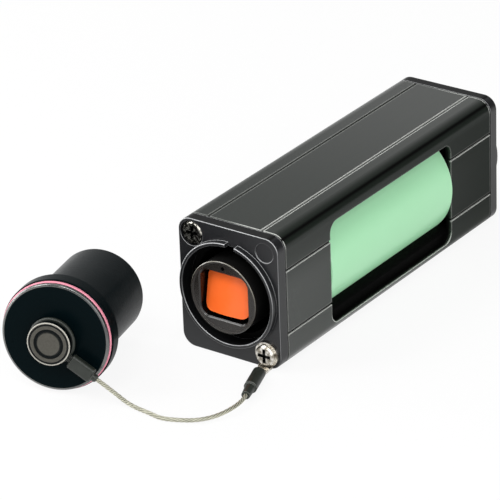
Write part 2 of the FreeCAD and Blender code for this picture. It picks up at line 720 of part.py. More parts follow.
def make_shutter_pin(name, end):
    body = new_body(name)
    round_bar = sketch_on(body, "YZ_Plane", "bar")
    disc(round_bar, 0, 0, d.pin_radius)
    pad(body, round_bar, pin_half * 2, both=True)
    hang(body, end, 0)
    return body


def make_shutter_spring(name, end):
    """Open coil between the knuckles: six-sided wire swept along a helix about the pin."""
    helix = doc.addObject("Part::Helix", f"{name}_path")
    helix.setExpression("Pitch", d.spring_pitch.text)
    helix.setExpression("Height", (d.spring_half * 2).text)
    helix.setExpression("Radius", d.spring_mean.text)
    section = doc.addObject("Part::RegularPolygon", f"{name}_section")
    section.Polygon = 6
    section.setExpression("Circumradius", d.spring_wire.text)
    section.Placement = Placement(Vector(d.spring_mean.value, 0, 0), Rotation(Vector(1, 0, 0), 90))
    section.setExpression("Placement.Base.x", d.spring_mean.text)
    doc.recompute()
    coil = doc.addObject("Part::Sweep", name)
    coil.Label = name
    coil.Sections = [section]
    coil.Spine = (helix, [f"Edge{i}" for i in range(1, len(helix.Shape.Edges) + 1)])
    coil.Solid = True
    coil.Frenet = True
    doc.recompute()
    turned = Rotation(Vector(0, 0, 1), 180.0 * end)
    sideways = turned.multiply(Rotation(Vector(0, 1, 0), 90))
    place = Vector(-d.spring_half.value, -hinge_y.value, hinge_z.value)
    coil.Placement = Placement(turned.multVec(place) + Vector(0, 0, axis_height.value), sideways)
    return coil


def make_adapter_half(name, end):
    """Half adapter: a plug port with key slot, and the ferrule window through its floor."""
    body = new_body(name)
    outline = sketch_on(body, "XZ_Plane", "outline")
    x = opening_width / 2 + d.seat_step - d.adapter_fit
    z = opening_height / 2 + d.seat_step - d.adapter_fit
    round_box(outline, -x, x, -z, z, d.opening_radius - d.adapter_fit)
    length = seat_floor - d.seat_gap
    pad(body, outline, length)
    port = sketch_on(body, "XZ_Plane", "port", length + 1)
    port_width = least(d.port_width, opening_width - d.port_side * 2)
    port_height = least(d.port_height, opening_height - d.port_over * 2)
    half_port = port_width / 2
    half_rise = port_height / 2
    round_box(port, -half_port, half_port, -half_rise, half_rise, d.port_radius)
    pocket(body, port, length + 1 - d.port_floor)
    key = sketch_on(body, "XZ_Plane", "key", length + 1)
    box(key, -d.key_width / 2, d.key_width / 2, half_rise - d.key_bite, half_rise + d.key_height)
    pocket(body, key, length + 1 - d.key_end)
    ferrule = sketch_on(body, "XZ_Plane", "ferrule", d.port_floor + 1)
    half_window = least(d.ferrule_width, port_width - d.ferrule_side * 2) / 2
    box(ferrule, -half_window, half_window, -d.ferrule_height / 2, d.ferrule_height / 2)
    pocket(body, ferrule, d.port_floor + 2)
    set_end(body, end)
    return body


for end, side in enumerate(("front", "rear")):
    pieces.append(make_gasket(f"{side}_gasket", end))
    pieces.append(make_core(f"{side}_core", end))
    pieces.append(make_core_seal(f"{side}_core_seal", end))
    pieces.append(make_shutter(f"{side}_shutter", end))
    pieces.append(make_shutter_pin(f"{side}_shutter_pin", end))
    pieces.append(make_shutter_spring(f"{side}_shutter_spring", end))
    pieces.append(make_adapter_half(f"adapter_{side}_half", end))


def make_screw(name, end, x, z, seat, radius, height):
    """Cross-head screw: head in front of its seat, shank behind; drawn on its own axis."""
    body = new_body(name)
    half = sketch_on(body, "XY_Plane", "half")
    polygon(half, [
        (0, -height),
        (radius - d.head_round, -height),
        (radius, -height + d.head_round),
        (radius, 0),
        (d.screw_radius, 0),
        (d.screw_radius, d.screw_length - d.screw_tip),
        (d.screw_radius - d.screw_tip, d.screw_length),
        (0, d.screw_length),
    ])
    turn(body, half)
    bar = d.cross_length / 2
    half_bar = d.cross_width / 2
    upright = sketch_on(body, "XZ_Plane", "upright", height)
    box(upright, -half_bar, half_bar, -bar, bar)
    pocket(body, upright, d.cross_depth)
    across = sketch_on(body, "XZ_Plane", "across", height)
    box(across, -bar, bar, -half_bar, half_bar)
    pocket(body, across, d.cross_depth)
    turned = Rotation(Vector(0, 0, 1), 180.0 * end)
    place = turned.multVec(Vector(x.value, -seat.value, z.value)) + Vector(0, 0, axis_height.value)
    body.Placement = Placement(place, turned)
    flip = 1 - 2 * end
    body.setExpression("Placement.Base.x", (x * flip).text)
    body.setExpression("Placement.Base.y", (seat * -flip).text)
    body.setExpression("Placement.Base.z", (axis_height + z).text)
    return body


sunk_seat = plate_face - d.counterbore_depth
eyelet_face = plate_face + d.eyelet_thickness
low = (d.low_head_radius, d.low_head_height)
sunk = (d.head_radius, d.head_height)
pieces.append(make_screw("front_upper_screw", 0, *upper_left, sunk_seat, *sunk))
pieces.append(make_screw("lanyard_screw", 0, *lower_right, eyelet_face, *low))
pieces.append(make_screw("rear_upper_screw", 1, *upper_left, sunk_seat, *sunk))
pieces.append(make_screw("rear_lower_screw", 1, *lower_right, sunk_seat, *sunk))

# Lanyard eyelet: a ring under the screw head with a tongue bent forward along the floor.
eyelet = new_body("lanyard_eyelet")
ring = sketch_on(eyelet, "XZ_Plane", "ring", plate_face)
disc(ring, boss_x, -boss_z, eyelet_radius)
disc(ring, boss_x, -boss_z, d.screw_hole)
pad(eyelet, ring, d.eyelet_thickness)
tongue = sketch_on(eyelet, "XY_Plane", "tongue", d.tongue_low - axis_height)
root = d.tongue_root / 2
tip = d.tongue_width / 2
root_x = boss_x - d.tongue_aside
tip_x = boss_x + d.sleeve_aside
polygon(tongue, [
    (root_x - root, -plate_face),
    (root_x + root, -plate_face),
    (root_x + root, -eyelet_face),
    (tip_x + tip, -plate_face - d.sleeve_start),
    (tip_x + tip, -plate_face - d.tongue_reach),
    (tip_x - tip, -plate_face - d.tongue_reach),
    (tip_x - tip, -plate_face - d.sleeve_start),
    (root_x - root, -eyelet_face),
])
pad(eyelet, tongue, d.eyelet_thickness)
set_end(eyelet, 0)
pieces.append(eyelet)

# Radii and stations of the cap, counted back from its face.
cap_plug_radius = shell_bore - d.cap_plug_gap
cap_flange_radius = collar_radius + d.cap_flange_over
cap_hollow_radius = core_radius + d.cap_hollow_gap
seal_front = d.cap_disc_thickness
seal_rear = seal_front + d.cap_seal_width
flange_rear = seal_rear + d.cap_flange_length
cap_length = flange_rear + d.shell_depth - d.cap_floor_gap
cap_hole = d.stem_radius + d.stem_gap
cap_disc_radius = cap_flange_radius - d.cap_disc_under
cap_groove_root = cap_flange_radius - d.cap_groove_depth

# The laid cap touches the floor with the back edge of its flange and the end of its plug.
contact = cap_length.value - d.cap_plug_chamfer.value - flange_rear.value
tilt = math.atan2(cap_flange_radius.value - cap_plug_radius.value, contact)
cap_z = flange_rear.value * math.sin(tilt) + cap_flange_radius.value * math.cos(tilt)
bearing = math.radians(d.cap_heading.value)
across = Vector(math.cos(bearing), math.sin(bearing), 0)
along = Vector(math.sin(bearing) * math.cos(tilt), -math.cos(bearing) * math.cos(tilt), math.sin(tilt))
cap_turn = Rotation(across, along.cross(across), along, "ZXY")
cap_place = Placement(Vector(d.cap_x.value, d.cap_y.value, cap_z), cap_turn)
print("cap place", cap_place.Base, "axis", along, "tilt", round(math.degrees(tilt), 3))

# The flat sleeve lies on the cap face and ends in a nub, which the wire leaves.
turn_on_face = Rotation(Vector(0, 0, 1), d.cap_sleeve_turn.value)
start_on_face = Vector(d.cap_sleeve_x.value, d.cap_sleeve_y.value, 0)
flat_low = d.loop_face_gap
flat_place = cap_place.multiply(Placement(start_on_face, turn_on_face))
nub_end = d.cap_sleeve_length + d.nub_length
nub_height = flat_low + d.cap_sleeve_thickness / 2
flat_end = flat_place.multVec(Vector(nub_end.value, 0, nub_height.value))
sleeve_start = Vector(
    boss_x.value + d.sleeve_aside.value,
    -plate_face.value - d.sleeve_start.value,
    d.sleeve_radius.value + d.sleeve_rest.value,
)
print("cap sleeve ends at", flat_end, "housing sleeve starts at", sleeve_start)

# Lanyard wire: straight runs and tangent arcs through the chosen points, from sleeve to sleeve.
# Its first points are set off from the sleeve at the housing, its last ones from the nub at the cap.
ROUTE = [
    sleeve_start + Vector(3.320, -9.690, -0.050),
    sleeve_start + Vector(4.779, -13.414, -0.066),
    Vector(12.500, -70.870, 0.620),
    Vector(4.330, -75.095, 0.560),
    Vector(0.065, -74.290, 0.560),
    Vector(-5.255, -73.765, 0.560),
    flat_end + Vector(3.015, 0.737, -1.944),
    flat_end + Vector(0.010, 0.002, -0.006),
]
print("route", [[round(v, 3) for v in point] for point in ROUTE])


def rounded_route(points):
    """A wire of straight runs joined by tangent arcs, and the radius of each arc."""
    edges = []
    radii = []
    start = points[0]
    for before, corner, after in zip(points, points[1:], points[2:]):
        run_in = corner - before
        run_out = after - corner
        bend = run_in.getAngle(run_out)
        cut = 0.45 * min(run_in.Length, run_out.Length)
        a = corner - Vector(run_in).normalize() * cut
        b = corner + Vector(run_out).normalize() * cut
        radius = cut / math.tan(bend / 2)
        bisector = (Vector(run_out).normalize() - Vector(run_in).normalize()).normalize()
        middle = corner + bisector * (radius / math.cos(bend / 2) - radius)
        edges.append(Part.LineSegment(start, a).toShape())
        edges.append(Part.Arc(a, middle, b).toShape())
        radii.append(radius)
        start = b
    edges.append(Part.LineSegment(start, points[-1]).toShape())
    return Part.Wire(edges), radii


path, radii = rounded_route(ROUTE)
first = ROUTE[0]
heading = (ROUTE[1] - first).normalize()
section = Part.Wire(Part.Circle(first, heading, d.wire_radius.value).toShape())
wire = doc.addObject("Part::Feature", "lanyard_wire")
wire.Label = "lanyard_wire"
wire.Shape = path.makePipeShell([section], True, True)
expected = math.pi * d.wire_radius.value ** 2 * path.Length
print("lanyard bend radii", [round(r, 2) for r in radii])
print("lanyard length", round(path.Length, 2))
print("lanyard volume", round(wire.Shape.Volume, 3), "section times length", round(expected, 3))
if abs(wire.Shape.Volume - expected) > 0.02 * expected:
    raise RuntimeError("lanyard wire is not a plain tube")
pieces.append(wire)

# Sleeve at the housing: from the tongue of the eyelet to the start of the wire, in line with its first run.
sleeve = new_body("lanyard_housing_sleeve")
sleeve_length = size((first - sleeve_start).Length)
half = sketch_on(sleeve, "XZ_Plane", "half")
polygon(half, [
    (0, 0),
    (d.sleeve_radius, 0),
    (d.sleeve_radius, sleeve_length - d.sleeve_tip_length),
    (d.sleeve_tip_radius, sleeve_length - d.sleeve_tip_length + d.sleeve_step),
    (d.sleeve_end_radius, sleeve_length),
    (0, sleeve_length),
])
turn(sleeve, half)
sleeve.Placement = Placement(sleeve_start, Rotation(Vector(0, 0, 1), first - sleeve_start))
pieces.append(sleeve)

# Cap: drawn with its face at the origin and the button along +Z, then laid on the floor.
plug = new_body("cap_plug")
half = sketch_on(plug, "XZ_Plane", "half")
polygon(half, [
    (cap_hole, 0),
    (cap_disc_radius, 0),
    (cap_disc_radius, -seal_front),
    (cap_groove_root, -seal_front),
    (cap_groove_root, -seal_rear),
    (cap_flange_radius - d.cap_flange_round, -seal_rear),
    (cap_flange_radius, -seal_rear - d.cap_flange_round),
    (cap_flange_radius, -flange_rear),
    (cap_plug_radius, -flange_rear),
    (cap_plug_radius, -cap_length + d.cap_plug_chamfer),
    (cap_plug_radius - d.cap_plug_chamfer, -cap_length),
    (cap_hollow_radius, -cap_length),
    (cap_hollow_radius, -d.cap_front_wall),
    (cap_hole, -d.cap_front_wall),
])
turned_plug = turn(plug, half)
fillet(plug, turned_plug, ring_edge(0, cap_disc_radius, "z"), d.cap_disc_round)

seal = new_body("cap_seal_ring")
half = sketch_on(seal, "XZ_Plane", "half")
seal_out = cap_flange_radius - d.cap_seal_under
seal_in = cap_groove_root + d.cap_seal_gap
seal_low = -seal_rear + d.cap_seal_gap
seal_high = -seal_front - d.cap_seal_gap
box(half, seal_in, seal_out, seal_low, seal_high)
turned_seal = turn(seal, half)
high_edge = ring_edge(seal_high, seal_out, "z")
low_edge = ring_edge(seal_low, seal_out, "z")
fillet(seal, turned_seal, lambda p: high_edge(p) or low_edge(p), d.cap_seal_round)

button = new_body("cap_button")
half = sketch_on(button, "XZ_Plane", "half")
head_top = d.neck_length + d.button_thickness
half_outer = d.face_ring_outer_width / 2
half_inner = d.face_ring_inner_width / 2
polygon(half, [
    (0, -d.cap_front_wall),
    (d.stem_radius, -d.cap_front_wall),
    (d.stem_radius, 0),
    (d.neck_radius, 0),
    (d.neck_radius, d.neck_length),
    (d.button_radius, d.neck_length),
    (d.button_radius, head_top),
    (d.face_ring_outer + half_outer, head_top),
    (d.face_ring_outer + half_outer, head_top - d.face_ring_depth),
    (d.face_ring_outer - half_outer, head_top - d.face_ring_depth),
    (d.face_ring_outer - half_outer, head_top),
    (d.face_ring_inner + half_inner, head_top),
    (d.face_ring_inner + half_inner, head_top - d.face_ring_depth),
    (d.face_ring_inner - half_inner, head_top - d.face_ring_depth),
    (d.face_ring_inner - half_inner, head_top),
    (0, head_top),
])
turned_button = turn(button, half)
fillet(button, turned_button, ring_edge(head_top, d.button_radius, "z"), d.button_round)

for body in (plug, seal, button):
    body.Placement = cap_place
    body.setExpression("Placement.Base.x", d.cap_x.text)
    body.setExpression("Placement.Base.y", d.cap_y.text)
    pieces.append(body)

# Loop round the neck of the button with its two strands, and the flat sleeve that they enter.
loop_radius = d.neck_radius + d.loop_neck_gap + d.loop_wire
loop_height = d.loop_face_gap + d.loop_wire
ring = doc.addObject("Part::Torus", "loop_ring")
ring.setExpression("Radius1", loop_radius.text)
ring.setExpression("Radius2", d.loop_wire.text)
ring.Placement = Placement(Vector(0, 0, loop_height.value), Rotation())
ring.setExpression("Placement.Base.z", loop_height.text)
members = [ring]
for side in (1, -1):
    strand = doc.addObject("Part::Cylinder", f"loop_strand{1 + side}")
    strand.setExpression("Radius", d.strand_radius.text)
    strand.setExpression("Height", d.strand_length.text)
    aside = side * (d.strand_radius.value + d.strand_gap.value / 2)
    offset = turn_on_face.multVec(Vector(-d.strand_length.value, aside, loop_height.value))
    strand.Placement = Placement(start_on_face + offset, turn_on_face.multiply(Rotation(Vector(0, 1, 0), 90)))
    members.append(strand)
loop = doc.addObject("Part::MultiFuse", "lanyard_cap_loop")
loop.Label = "lanyard_cap_loop"
loop.Shapes = members
doc.recompute()
loop.Placement = cap_place
pieces.append(loop)

flat = new_body("lanyard_cap_sleeve")
section = sketch_on(flat, "YZ_Plane", "section")
half_flat = d.cap_sleeve_width / 2
round_box(section, -half_flat, half_flat, flat_low, flat_low + d.cap_sleeve_thickness, d.cap_sleeve_radius)
run = pad(flat, section, d.cap_sleeve_length)
flat_length = d.cap_sleeve_length.value
bevel(flat, run, lambda p: near(p.x, 0) or near(p.x, flat_length), d.cap_sleeve_end)
nub = sketch_on(flat, "YZ_Plane", "nub", d.cap_sleeve_length)
disc(nub, 0, flat_low + d.cap_sleeve_thickness / 2, d.nub_radius)
stub = pad(flat, nub, d.nub_length)
bevel(flat, stub, lambda p: near(p.x, nub_end.value), d.nub_bevel)
flat.Placement = flat_place
pieces.append(flat)

# Check every piece, then write one file for each.
doc.recompute()
for item in doc.Objects:
    if "Invalid" in item.State or "Error" in item.State:
        raise RuntimeError(f"{item.Name}: {item.State}")
os.makedirs("parts", exist_ok=True)
for piece in pieces:
    shape = piece.Shape
    if shape.isNull() or not shape.isValid() or len(shape.Solids) != 1:
        raise RuntimeError(f"{piece.Label}: not one valid solid")
    shape.exportStep(f"parts/{piece.Label}.step")
    b = shape.optimalBoundingBox(False)
    extent = f"{b.XMin:.2f}..{b.XMax:.2f} {b.YMin:.2f}..{b.YMax:.2f} {b.ZMin:.2f}..{b.ZMax:.2f}"
    print(f"{piece.Label:24s} {shape.Volume:10.3f}  {extent}")
print(len(pieces), "pieces")
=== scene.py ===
# %% [markdown]
# # A fibre coupler and its dust cap
# This part is an in-line coupler for hardened fibre plugs: an extruded housing with a window in one side,
# a keyed socket with a sprung shutter at each end, and a dust cap that hangs on a wire lanyard. All rigid
# shapes come from CAD and stay as they are. What Blender adds is the look of each surface, the twisted
# rope of the lanyard, a floor, soft light and a camera.

# %% Load the solids
import json
import math

import bmesh
import bpy
from mathutils import Matrix, Vector, kdtree


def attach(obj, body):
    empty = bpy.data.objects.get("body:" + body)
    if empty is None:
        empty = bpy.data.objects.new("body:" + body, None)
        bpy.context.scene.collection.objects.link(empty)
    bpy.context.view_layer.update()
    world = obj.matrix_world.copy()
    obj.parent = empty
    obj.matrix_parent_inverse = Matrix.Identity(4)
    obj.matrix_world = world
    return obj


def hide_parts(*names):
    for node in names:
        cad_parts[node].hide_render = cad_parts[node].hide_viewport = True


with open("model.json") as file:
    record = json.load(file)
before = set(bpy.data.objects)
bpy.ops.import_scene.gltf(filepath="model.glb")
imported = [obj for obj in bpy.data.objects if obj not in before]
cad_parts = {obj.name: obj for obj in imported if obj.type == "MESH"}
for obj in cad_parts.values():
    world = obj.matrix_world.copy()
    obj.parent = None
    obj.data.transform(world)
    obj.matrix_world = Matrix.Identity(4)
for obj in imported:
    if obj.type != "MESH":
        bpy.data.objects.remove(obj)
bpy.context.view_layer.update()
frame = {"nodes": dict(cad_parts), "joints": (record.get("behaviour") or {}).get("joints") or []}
nodes = frame["nodes"]

# %% [markdown]
# ## Camera
# The picture was taken with a long lens from the front right and a little above. A camera matrix needs
# three directions: right, up and back. They follow from two angles and a small roll, so no tracking
# constraint is needed, and the lens length follows from a view angle of just under eight degrees.

# %% Camera directions
azimuth = math.radians(36.084)
elevation = math.radians(26.204)
roll = math.radians(-2.157)
back = Vector((
    math.sin(azimuth) * math.cos(elevation),
    -math.cos(azimuth) * math.cos(elevation),
    math.sin(elevation),
))
level_right = Vector((math.cos(azimuth), math.sin(azimuth), 0.0))
level_up = back.cross(level_right)
right = level_right * math.cos(roll) + level_up * math.sin(roll)
up = level_up * math.cos(roll) - level_right * math.sin(roll)
print("camera looks along", tuple(round(-v, 3) for v in back))

# %% Camera
lens = bpy.data.cameras.new("long_lens")
lens.sensor_width = 36.0
lens.lens = 259.0
lens.clip_start = 0.01
lens.clip_end = 60.0
camera = bpy.data.objects.new("camera", lens)
bpy.context.scene.collection.objects.link(camera)
pose = Matrix((right, up, back)).transposed().to_4x4()
pose.translation = Vector((0.40888, -0.59701, 0.36417))
camera.matrix_world = pose
bpy.context.scene.camera = camera
print("lens", lens.lens, "mm")

# %% [markdown]
# ## Shader maths
# Every finish below is a small network of nodes. Written node by node, such a network hides its idea, so
# two helpers let it read like a formula. A `Field` is a number that varies over a surface: adding or
# multiplying fields adds the Math nodes. A `Network` holds the nodes of one material, or of the world, and
# its `node` method adds any node: first its settings, then the values or links of its sockets.

# %% Field
class Field:
    """A number that varies over a surface, held by a node's output socket."""

    def __init__(self, network, socket):
        self.network = network
        self.socket = socket

    def __add__(self, other):
        return self.network.math("ADD", self, other)

    def __sub__(self, other):
        return self.network.math("SUBTRACT", self, other)

    def __rsub__(self, other):
        return self.network.math("SUBTRACT", other, self)

    def __mul__(self, other):
        return self.network.math("MULTIPLY", self, other)

    def __pow__(self, other):
        return self.network.math("POWER", self, other)

    def __abs__(self):
        return self.network.math("ABSOLUTE", self, 0.0)

    __radd__ = __add__
    __rmul__ = __mul__

    def between(self, low, high):
        """0 below low, 1 above high, and a smooth step from one to the other."""
        return self.network.field("ShaderNodeMapRange", {"interpolation_type": "SMOOTHSTEP"}, {
            "Value": self, "From Min": low, "From Max": high,
        })


# %% Network
class Network:
    """The nodes of a material or of the world."""

    def __init__(self, owner):
        owner.use_nodes = True
        self.owner = owner
        self.tree = owner.node_tree
        self.tree.nodes.clear()

    def node(self, kind, settings, inputs):
        made = self.tree.nodes.new(kind)
        for key, value in settings.items():
            setattr(made, key, value)
        for key, value in inputs.items():
            if isinstance(value, Field):
                self.tree.links.new(value.socket, made.inputs[key])
            elif isinstance(value, bpy.types.NodeSocket):
                self.tree.links.new(value, made.inputs[key])
            else:
                made.inputs[key].default_value = value
        return made

    def field(self, kind, settings, inputs):
        return Field(self, self.node(kind, settings, inputs).outputs[0])

    def math(self, operation, first, second):
        return self.field("ShaderNodeMath", {"operation": operation}, {0: first, 1: second})

    def mix(self, factor, first, second):
        """A colour between two colours."""
        made = self.node("ShaderNodeMix", {"data_type": "RGBA"}, {0: factor, 6: first, 7: second})
        return made.outputs[2]

    def place(self, **mapping):
        """Object coordinates, which are metres on the part, moved or stretched by a Mapping node."""
        where = self.node("ShaderNodeTexCoord", {}, {}).outputs["Object"]
        kind = mapping.pop("vector_type", "POINT")
        inputs = {"Vector": where, **mapping}
        return self.node("ShaderNodeMapping", {"vector_type": kind}, inputs).outputs[0]

    def split(self, vector):
        """The three numbers of a place or a direction."""
        parts = self.node("ShaderNodeSeparateXYZ", {}, {0: vector})
        return [Field(self, socket) for socket in parts.outputs]

    def noise(self, where, scale, detail=3.0):
        return self.field("ShaderNodeTexNoise", {}, {
            "Vector": where, "Scale": scale, "Detail": detail,
        })

    def bump(self, height, depth, strength=1.0):
        made = self.node("ShaderNodeBump", {}, {
            "Height": height, "Distance": depth, "Strength": strength,
        })
        return made.outputs[0]

    def close(self, **sockets):
        """End the network in a Principled shader; socket names are written with underscores."""
        inputs = {key.replace("_", " "): value for key, value in sockets.items()}
        shader = self.node("ShaderNodeBsdfPrincipled", {}, inputs)
        self.node("ShaderNodeOutputMaterial", {}, {"Surface": shader.outputs[0]})
        return self.owner


# %% Finish and dress
def finish(name):
    """An empty network in a new material."""
    return Network(bpy.data.materials.new(name))


def dress(material, *names):
    """Give a finish to CAD nodes, in place of the plain colour that they came with."""
    for name in names:
        mesh = nodes[name].data
        mesh.materials.clear()
        mesh.materials.append(material)
    print(material.name, "on", ", ".join(names))


# %% [markdown]
# ## Anodised housing
# The housing is an aluminium extrusion with a black anodised skin. Such a skin shows faint lines along the
# direction of extrusion and a slight unevenness of the dye. Pale edges, most on the window's side and most
# where they look up, are painted in the colour, partly as wear and partly as a painted highlight. A paler
# band low on the side and a pale foot are a painted reflection of the floor. An unwrapped texture could hold
# all this, but masks made from Object coordinates stay sharp at any distance. Noise stretched along Y gives
# the lines and moves roughness and bump together. The grooves and the inside are painted nearly black, as
# painted shade, and made dull. Gloss is a clear coat on a dull base. Its weight is fitted to the picture: it
# falls from front to back on the sides and rises a little on the top, and so stands in for a studio that is
# not equally bright all round.

# %% Edge wear and painted highlight
def edge_wear_and_highlight(network, radius, downward_shade=0.85):
    """Near 1 on sharp edges and 0 on the flat: how far a rounded normal leaves the true one.

    The mark is partly wear and partly a painted highlight. The last argument is the share that the mark
    loses where edges look down, as if lit from above; a piece that turns has none.
    """
    soft = network.node("ShaderNodeBevel", {"samples": 8}, {"Radius": radius}).outputs[0]
    true = network.node("ShaderNodeNewGeometry", {}, {}).outputs["True Normal"]
    dot = network.node("ShaderNodeVectorMath", {"operation": "DOT_PRODUCT"}, {0: soft, 1: true})
    bent = (1.0 - Field(network, dot.outputs["Value"])).between(0.01, 0.12)
    # Edges that look up are paler: a painted highlight from light above.
    upward = network.split(soft)[2].between(-0.1, 0.4)
    return bent * (1.0 - downward_shade + downward_shade * upward)


# %% Housing places and noises
AXIS_HEIGHT = 0.0155
skin = finish("black_anodised_aluminium")
x, y, z = skin.split(skin.place())
sideways = abs(x)
upright = abs(z - AXIS_HEIGHT)
lines = skin.noise(skin.place(Scale=(1.0, 0.012, 1.0)), 5200.0, 2.0)
dye = skin.noise(skin.place(), 55.0, 4.0)
grain = skin.noise(skin.place(), 9000.0, 2.0)
outside = sideways.between(0.0121, 0.0125)
outside = outside + (1.0 - outside) * upright.between(0.0146, 0.0150)
above = z.between(0.0270, 0.0305)
rearward = y.between(-0.045, 0.045)
# Painted reflection of the floor: the side is paler low down and palest at the foot.
low = 1.0 - z.between(0.0, 0.0085)
foot = 1.0 - z.between(0.0003, 0.0026)
print("housing noises: lines, dye, grain")

# %% Housing grooves
SIDE_GROOVE = 0.0075
TOP_GROOVE = 0.0070
groove_edge = (0.00028, 0.00031)
side_slot = 1.0 - abs(upright - SIDE_GROOVE).between(*groove_edge)
side_slot = side_slot * (1.0 - sideways.between(0.01285, 0.01295))
top_slot = 1.0 - abs(sideways - TOP_GROOVE).between(*groove_edge)
top_slot = top_slot * (1.0 - upright.between(0.01535, 0.01545))
# The grooves and the inside of the housing are painted nearly black, as painted shade.
bare = outside * (1.0 - side_slot) * (1.0 - top_slot)
print("grooves at", SIDE_GROOVE, "and", TOP_GROOVE, "m off the middle")

# %% Housing edge wear, painted highlight, painted reflection, gloss and finish
# Pale edges, partly wear and partly painted highlight, are three tenths as strong away from the window's
# side.
wear_and_highlight = edge_wear_and_highlight(skin, 0.00060) * (0.30 + 0.70 * x.between(-0.003, 0.003))
dyed = skin.mix(dye, (0.0078, 0.0115, 0.0088, 1), (0.0128, 0.0172, 0.0135, 1))
# The painted reflection of the floor pales the colour low on the side and at the foot.
paled = skin.mix(low * (0.25 + 0.5 * lines), dyed, (0.040, 0.045, 0.039, 1))
paled = skin.mix(foot * (0.35 + 0.5 * lines), paled, (0.40, 0.42, 0.40, 1))
edged = skin.mix(wear_and_highlight * (0.75 + 0.25 * dye), paled, (0.74, 0.76, 0.72, 1))
side_gloss = (1.0 - rearward) * (1.0 - 0.55 * z.between(0.017, 0.027))
top_gloss = 0.38 + 0.34 * rearward
dress(skin.close(
    Base_Color=skin.mix(bare, (0.0015, 0.0015, 0.0015, 1), edged),
    Roughness=0.30 + 0.09 * lines + 0.05 * dye + 0.3 * (1.0 - bare),
    Specular_IOR_Level=0.05,
    Coat_Weight=(side_gloss * (1.0 - above) + top_gloss * above) * bare,
    Coat_Roughness=0.20,
    Normal=skin.bump(0.7 * lines + 0.3 * grain, 0.000004),
), "housing_tube")

# %% [markdown]
# ## Flanges
# The end plates are black and look softer than an extrusion: a fine orange-peel grain and a little more
# roughness. Bright lines along their edges, strongest where an edge looks up, are painted in the colour,
# partly as wear and partly as a painted highlight. A Bevel node finds the sharp edges; the rim of the collar
# is rounded in the solid itself, and there the normal tells where the face turns into the side. Both sockets
# lie on one axis, so a frame whose Z is that axis gives each point its distance from it: what is nearer than
# the bore of the collar lies down in the ring gap and is painted nearly black and dull, as painted shade.
# The plate's top side is painted darker and without coat, also as painted shade.

# %% Socket frame and rounded rims
socket_frame = {
    "vector_type": "TEXTURE",
    "Location": (0.0, 0.0, AXIS_HEIGHT),
    "Rotation": (math.pi / 2, 0.0, 0.0),
}


def around(network, axis_frame):
    """The distance from the axis of a frame, which is its Z, and the height along it."""
    x, y, z = network.split(network.place(**axis_frame))
    return (x * x + y * y) ** 0.5, z


def rounded_rims(network):
    """1 where a surface turns from an end face to a side, as on a rounded rim, and less where it looks down:
    a painted highlight from above.
    """
    x, y, z = network.split(network.node("ShaderNodeNewGeometry", {}, {}).outputs["Normal"])
    level = y * y
    turning = (4.0 * level * (1.0 - level)).between(0.45, 0.95)
    return turning * (0.15 + 0.85 * z.between(-0.2, 0.5))


# %% Flange finish
coat = finish("black_coated_casting")
radius, height = around(coat, socket_frame)
x, y, z = coat.split(coat.place())
# The ring gap inside the bore of the collar is painted nearly black, as painted shade.
open_side = radius.between(0.01146, 0.01154)
# The plate's top side is painted darker and left without coat, as painted shade.
over = z.between(0.03065, 0.03085)
peel = coat.noise(coat.place(), 4200.0, 3.0)
cloud = coat.noise(coat.place(), 120.0, 3.0)
# Pale edges and rims, partly wear and partly painted highlight, strongest where they look up.
wear_and_highlight = edge_wear_and_highlight(coat, 0.00025)
wear_and_highlight = wear_and_highlight + (1.0 - wear_and_highlight) * rounded_rims(coat)
coated = coat.mix(cloud, (0.0095, 0.0100, 0.0115, 1), (0.0145, 0.0150, 0.0165, 1))
topped = coat.mix(over, coated, (0.0030, 0.0032, 0.0032, 1))
edged = coat.mix(wear_and_highlight * (0.45 + 0.55 * cloud), topped, (0.60, 0.61, 0.62, 1))
dress(coat.close(
    Base_Color=coat.mix(open_side, (0.0012, 0.0012, 0.0012, 1), edged),
    Roughness=0.32 + 0.12 * peel + 0.25 * (1.0 - open_side),
    Specular_IOR_Level=0.08,
    Coat_Weight=0.65 * open_side * (1.0 - over),
    Coat_Roughness=0.33,
    Normal=coat.bump(peel, 0.000006),
), "front_flange", "rear_flange")

# %% [markdown]
# ## Moulded black plastic
# The nose of each socket and the adapter inside are moulded in black plastic with a fine spark-eroded grain.
# Only the end face of the nose is in the open; its sides stand in the dark ring gap. A mask by height along
# the socket axis separates the two, and the sides are painted nearly black, as painted shade. The thin lip
# round the face is painted pale, partly as wear and partly as a painted highlight, strongest where it looks
# up. The slope inside the lip is dull, and the index hole above the opening is painted black, as painted
# shade. The walls of the opening are smooth, so that they mirror the orange flap that stands between them.

# %% Nose places
INDEX_HOLE_HEIGHT = 0.0223
mould = finish("moulded_black_plastic")
radius, height = around(mould, socket_frame)
x, y, z = mould.split(mould.place())
face = abs(height).between(0.04595, 0.04610)
opening = (1.0 - abs(x).between(0.0062, 0.0063)) * (1.0 - abs(z - AXIS_HEIGHT).between(0.0055, 0.0056))
walls = opening * (1.0 - face) * abs(height).between(0.0405, 0.0440)
below_hole = z - INDEX_HOLE_HEIGHT
from_hole = (x * x + below_hole * below_hole) ** 0.5
hole = 1.0 - from_hole.between(0.00046, 0.00052)
# The lip is painted pale, partly as wear and partly as a painted highlight, strongest where it looks up.
lip = rounded_rims(mould) * radius.between(0.00830, 0.00836)
slope = radius.between(0.00776, 0.00782) * (1.0 - radius.between(0.00812, 0.00816))
print("index hole at", INDEX_HOLE_HEIGHT, "m")

# %% Nose finish
spark = mould.noise(mould.place(), 7000.0, 2.0)
flow = mould.noise(mould.place(Scale=(1.0, 0.3, 1.0)), 160.0, 3.0)
